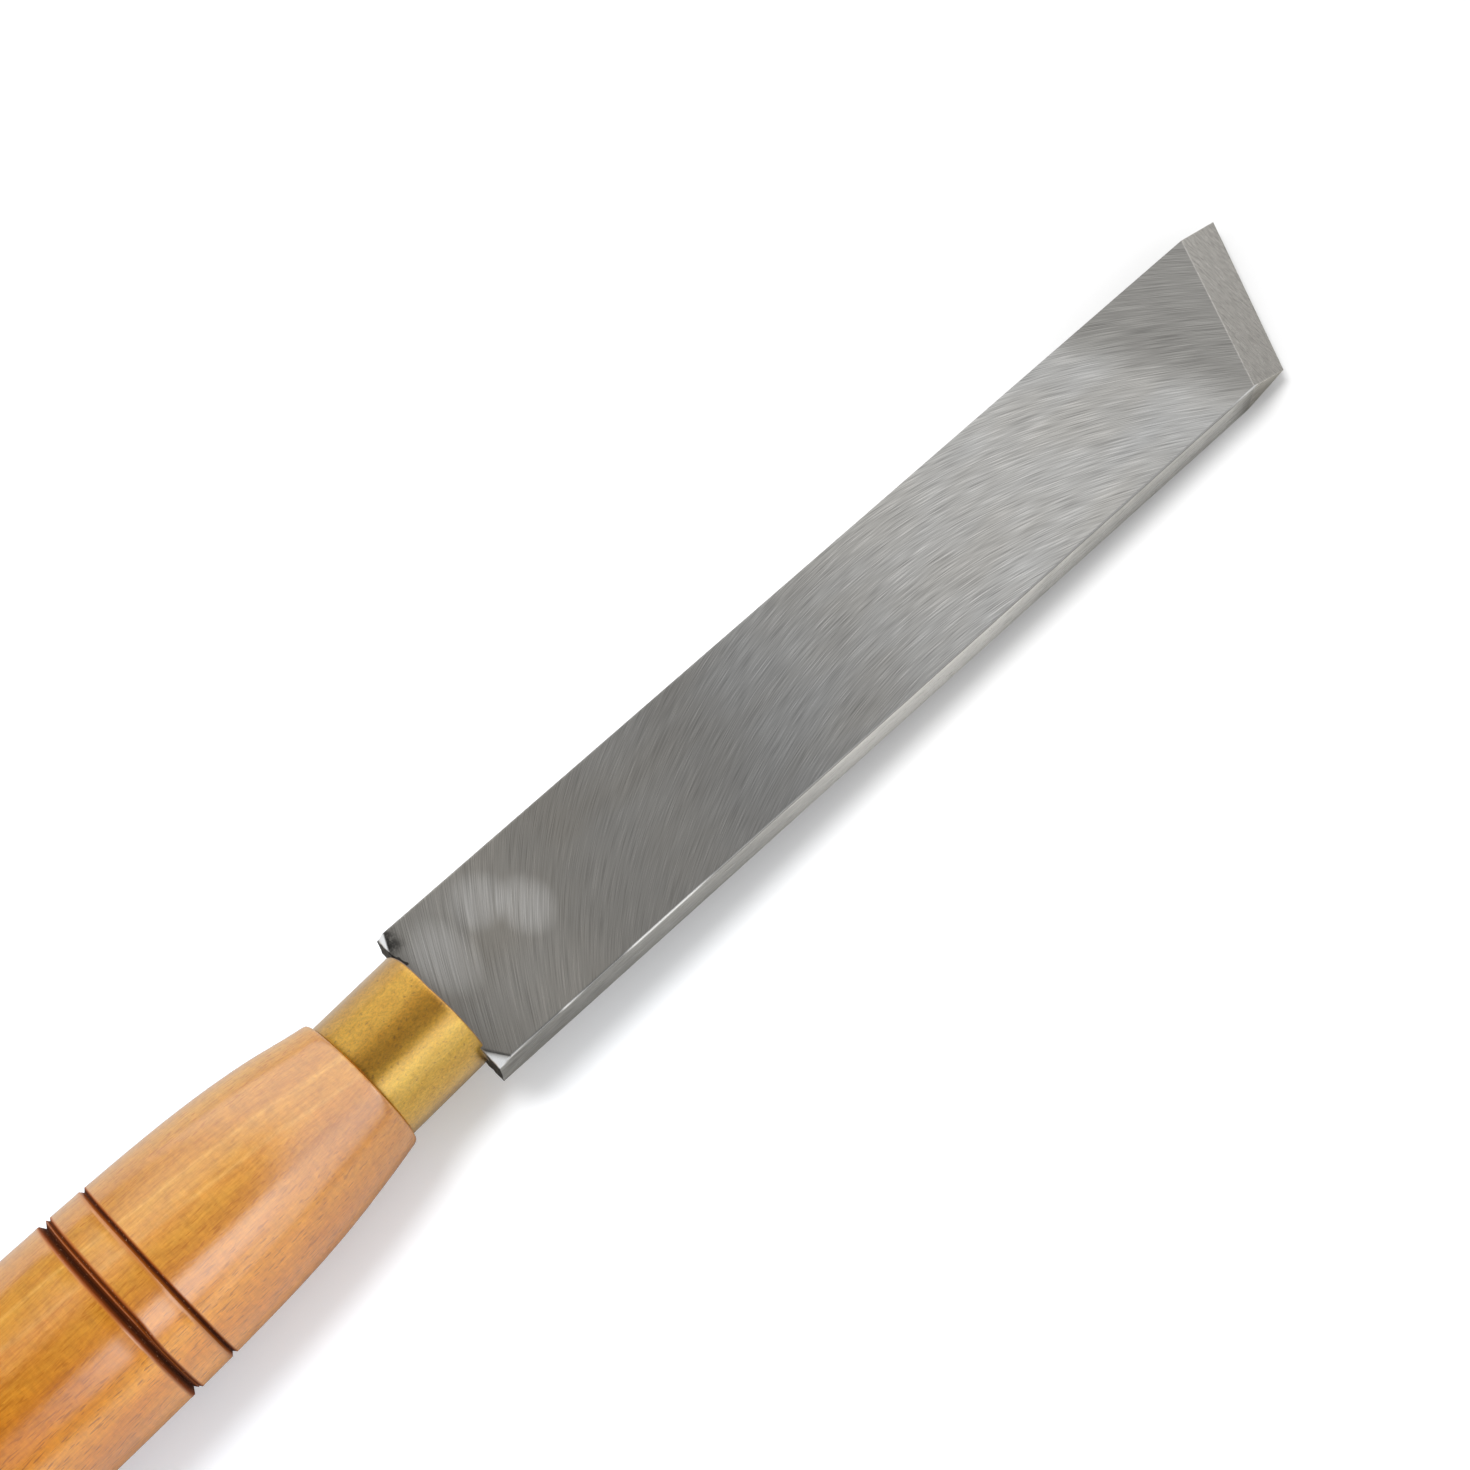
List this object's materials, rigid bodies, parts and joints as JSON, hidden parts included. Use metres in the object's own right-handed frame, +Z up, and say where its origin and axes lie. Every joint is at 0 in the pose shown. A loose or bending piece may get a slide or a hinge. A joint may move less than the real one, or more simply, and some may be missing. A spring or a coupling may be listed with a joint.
{
  "type": "woodturning skew chisel",
  "caption": "Skew chisel for woodturning: a flat bar blade ground from both faces to a slanted edge, with a brass ferrule and a turned beech handle.",
  "frame": {"origin": "on the bench, under the middle of the resting tool's length and width", "axes": "+X along the tool towards the cutting edge, +Y towards the toe, the long point of the edge, and +Z up; the tool rests on its lower bevel and its handle, so it leans nose down by about 3.2 degrees and rolls by about 1.6"},
  "size_m": [0.4336, 0.0354, 0.041],
  "materials": {
    "steel": "ground tool steel with fine curved grinding scratches",
    "brass": "satin drawn brass tube",
    "beech": "lacquered beech with burned rings"
  },
  "bodies": {
    "root": {"blade": "steel", "ferrule": "brass", "handle": "beech"}
  },
  "joints": []
}
